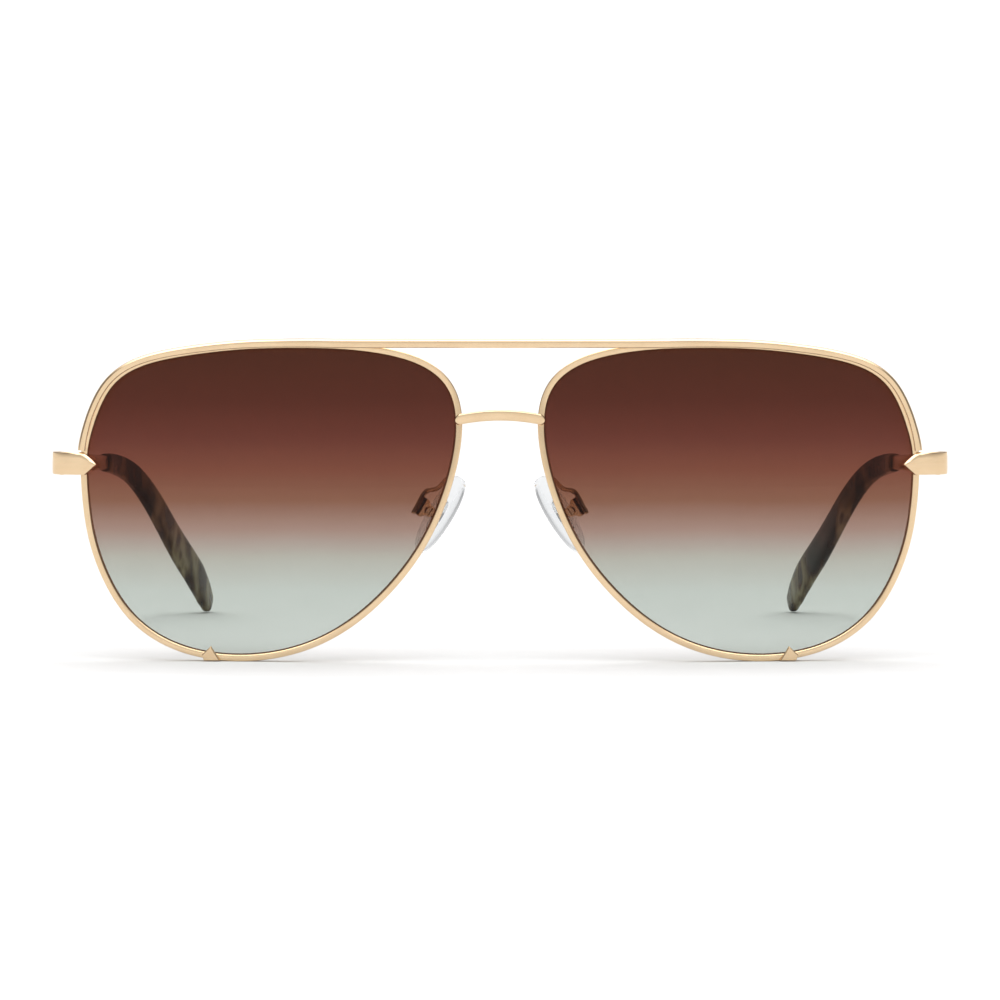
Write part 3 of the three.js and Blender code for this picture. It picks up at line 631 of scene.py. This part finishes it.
def rim_stud():
    middle = np.mean(STUD_OUTLINE, axis=0)
    back = front_depth(*middle) - RIM_HALF - STUD_BRAZE
    outline = rounded(STUD_OUTLINE, 0.09, 3)
    layers = ((1.0, 0.0), (1.0, STUD_THICKNESS - 0.2), (0.97, STUD_THICKNESS - 0.1),
              (0.84, STUD_THICKNESS))
    rings = []
    for share, forward in layers:
        flat = middle + (outline - middle) * share
        rings.append(np.array([(x, back - forward, z) for x, z in flat]))
    return loft(rings)


# ---- Temples -----------------------------------------------------------------------

temple_path = Path(TEMPLE_PATH)


def temple_ring(outline, distance):
    distance = min(distance, temple_path.length)
    along = temple_path.along(distance)
    outside = unit(np.cross(along, UP))
    return place(outline, temple_path.at(distance), outside, np.cross(outside, along))


def temple_arm():
    rings = []
    for distance in np.linspace(0, ARM_SECTIONS[-1][0], 240):
        thickness, height = look_up(ARM_SECTIONS, distance)
        section = rounded(cut_rectangle(thickness, height, 0.24), 0.08, 2)
        rings.append(temple_ring(section, distance))
    return loft(rings)


def temple_tip():
    """The acetate sleeve with a rounded end and a mouth that closes on the arm."""
    rings = []
    first, last = TIP_SECTIONS[0][0], temple_path.length
    mouth_thickness, mouth_height = look_up(TIP_SECTIONS, first)
    # The mouth: [share of the full width, distance inside the end].
    for share, inset in ((0.55, 1.2), (0.6, 0.0), (0.9, 0.0), (1.0, 0.18)):
        outline = rounded_shape(mouth_thickness * share, mouth_height * share ** 0.4, 3.4, 40)
        rings.append(temple_ring(outline, first + inset))
    for distance in np.linspace(first + 0.5, last, 200):
        thickness, height = look_up(TIP_SECTIONS, distance)
        to_end = last - distance
        if to_end < TIP_ROUNDING:
            fullness = math.sqrt(max(0.0, 1 - (1 - to_end / TIP_ROUNDING) ** 2))
            thickness, height = look_up(TIP_SECTIONS, last - TIP_ROUNDING)
            thickness, height = thickness * max(0.03, fullness), height * max(0.03, fullness)
        rings.append(temple_ring(rounded_shape(thickness, height, 3.2, 40), distance))
    return loft(rings)


# ---- Nose pads ---------------------------------------------------------------------

PAD_DOWN = np.array((math.sin(PAD_LEAN), 0.0, -math.cos(PAD_LEAN)))
PAD_INWARD = np.array((
    -math.cos(PAD_LEAN) * math.cos(PAD_SPLAY),
    math.sin(PAD_SPLAY),
    -math.sin(PAD_LEAN) * math.cos(PAD_SPLAY),
))
PAD_ACROSS = np.cross(PAD_DOWN, PAD_INWARD)


def pad_place(points):
    """Points of the pad's own frame (down its length, to the nose, along the screw)."""
    points = np.asarray(points, float)
    axes = np.array((PAD_DOWN, PAD_INWARD, PAD_ACROSS))
    return np.array(PAD_SCREW) + points @ axes


def nose_pad():
    middle = PAD_BACK + PAD_THICKNESS / 2
    rings = []
    for angle in np.linspace(0.02, math.pi - 0.02, 60):
        side = -math.cos(angle)
        fullness = math.sin(angle)
        width = PAD_WIDTH * fullness**0.85 * (1 - 0.1 * side)
        thickness = PAD_THICKNESS * fullness**0.6
        outline = rounded_shape(thickness, width, 2.5, 48)
        x = side * PAD_LENGTH / 2 - PAD_RISE
        rings.append(pad_place([(x, middle + a, b) for a, b in outline]))
    return loft(rings)


def pad_arm():
    """A wire from the back of the rim that is flattened behind the pad box."""
    paddle = pad_place([(x, -PADDLE_BACK, 0) for x in PADDLE_REACH])
    path = Path([*PAD_WIRE_PATH, *paddle])
    rings = []
    for distance in np.linspace(0, path.length, 110):
        thickness, width = look_up(PAD_ARM_SECTIONS, min(0.93, distance / path.length))
        to_end = (path.length - distance) / (width / 2)
        if to_end < 1:
            width *= max(0.05, math.sqrt(1 - (1 - to_end) ** 2))
        along = path.along(distance)
        narrow = unit(PAD_INWARD - np.dot(PAD_INWARD, along) * along)
        outline = rounded_shape(thickness, width, 2, 24)
        rings.append(place(outline, path.at(distance), narrow, np.cross(along, narrow)))
    return loft(rings)


# ---- The pieces --------------------------------------------------------------------

add_piece("brow_bar_piece", [brow_bar()], 1, "front", ["brow_bar"], gold, 20)
add_piece("bridge_piece", [bridge()], 1, "front", ["bridge"], gold, 20)

for prefix, side in SIDES:
    front_pieces = (
        ("rim", rim, gold, "gold_metal", 20),
        ("lens", lens, lens_tint, "lens_tint", 30),
        ("end_piece", end_piece, gold, "gold_metal", 20),
        ("rim_stud", rim_stud, gold, "gold_metal", 20),
        ("pad_arm", pad_arm, gold, "gold_metal", 40),
    )
    for name, shape, material, slot, sharp in front_pieces:
        node = f"{prefix}_{name}"
        add_piece(f"{node}_piece", [shape()], side, "front", [node], material, sharp)
    for name, shape, material, slot, sharp in (
        ("temple_arm", temple_arm, gold, "gold_metal", 20),
        ("temple_tip", temple_tip, tortoise, "tortoise_acetate", 50),
    ):
        node = f"{prefix}_{name}"
        body = f"{prefix}_temple"
        add_piece(f"{node}_piece", [shape()], side, body, [node], material, sharp)
    node = f"{prefix}_nose_pad"
    add_piece(
        f"{node}_piece", [nose_pad()], side, f"{prefix}_pad", [node],
        silicone, 60,
    )

# The small hardware keeps its CAD shape, with its sharp edges broken as a tumbler leaves them.
for name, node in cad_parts.items():
    if node.hide_render:
        continue
    node.data.materials.clear()
    if "core" in name:
        node.data.materials.append(insert_plastic)
    else:
        node.data.materials.append(screw_metal if "screw" in name else gold)
    softened = node.modifiers.new("broken edges", "BEVEL")
    softened.width = BROKEN_EDGE * MM
    softened.segments = 2
    softened.limit_method = "ANGLE"
    softened.angle_limit = math.radians(40)


# ---- Floor, light and camera -------------------------------------------------------

FLOOR_HALF = 60.0
floor_mesh = bpy.data.meshes.new("floor")
floor_corners = [(x * FLOOR_HALF, y * FLOOR_HALF, 0) for x, y in ((-1, -1), (1, -1), (1, 1), (-1, 1))]
floor_mesh.from_pydata(floor_corners, [], [(0, 1, 2, 3)])
floor = bpy.data.objects.new("floor", floor_mesh)
bpy.context.scene.collection.objects.link(floor)
paper = Nodes("floor_paper")
paper.set(Roughness=0.9, Specular_IOR_Level=0.1)
grain = paper.noise(120.0, 3.0)
paper.link(
    paper.ramp(grain, [(0.3, (0.669, 0.669, 0.669, 1)), (0.7, (0.687, 0.687, 0.687, 1))]),
    paper.shader.inputs["Base Color"],
)
floor_mesh.materials.append(paper.material)


def make_studio():
    """A bright dome: pale all round, brighter overhead, with two grey flags at the sides."""
    world = bpy.data.worlds.new("studio")
    bpy.context.scene.world = world
    world.use_nodes = True
    tree = world.node_tree
    direction = tree.nodes.new("ShaderNodeTexCoord").outputs["Generated"]
    parts = tree.nodes.new("ShaderNodeSeparateXYZ")
    tree.links.new(direction, parts.inputs["Vector"])

    def math_node(operation, *values):
        node = tree.nodes.new("ShaderNodeMath")
        node.operation = operation
        for value, socket in zip(values, node.inputs):
            tree.links.new(value, socket)
        return node.outputs["Value"]

    def from_to(value, low, high):
        node = tree.nodes.new("ShaderNodeMapRange")
        node.inputs["From Min"].default_value = low
        node.inputs["From Max"].default_value = high
        tree.links.new(value, node.inputs["Value"])
        return node.outputs["Result"]

    rise = tree.nodes.new("ShaderNodeValToRGB")
    # [sine of the height above the horizon, brightness]
    steps = ((0.07, 1.1), (0.16, 0.72), (0.45, 0.85), (0.7, 1.5), (0.85, 3.0))
    while len(rise.color_ramp.elements) < len(steps):
        rise.color_ramp.elements.new(0.5)
    for element, (position, level) in zip(rise.color_ramp.elements, steps):
        element.position = position
        element.color = (level, level, level, 1.0)
    tree.links.new(parts.outputs["Z"], rise.inputs["Fac"])

    sideways = math_node("ABSOLUTE", parts.outputs["X"])
    flags = math_node(
        "MULTIPLY", from_to(sideways, 0.55, 0.75), from_to(parts.outputs["Z"], 0.07, 0.16)
    )
    dim = tree.nodes.new("ShaderNodeMix")
    dim.data_type = "RGBA"
    dim.inputs["B"].default_value = (0.25, 0.25, 0.25, 1.0)
    tree.links.new(flags, dim.inputs["Factor"])
    tree.links.new(rise.outputs["Color"], dim.inputs["A"])
    tree.links.new(dim.outputs["Result"], tree.nodes["Background"].inputs["Color"])


make_studio()

# The camera stands in front of the glasses, a little above them, and looks slightly down.
CAMERA_DISTANCE = 0.850
CAMERA_HEIGHT = 0.0620
PICTURE_HALF = 0.0834  # half the picture's width at the front of the glasses
AIM_HEIGHT = 0.02714

camera_data = bpy.data.cameras.new("camera")
camera_data.sensor_width = 36.0
camera_data.lens = 18.0 * CAMERA_DISTANCE / PICTURE_HALF
camera_data.clip_start = 0.01
camera = bpy.data.objects.new("camera", camera_data)
front_y = -DEPTH_MIDDLE * MM
camera.location = (0.0, front_y - CAMERA_DISTANCE, CAMERA_HEIGHT)
aim = Vector((0.0, front_y, AIM_HEIGHT)) - camera.location
camera.rotation_euler = aim.to_track_quat("-Z", "Y").to_euler()
bpy.context.scene.collection.objects.link(camera)
bpy.context.scene.camera = camera

bpy.context.scene.view_settings.view_transform = "Standard"
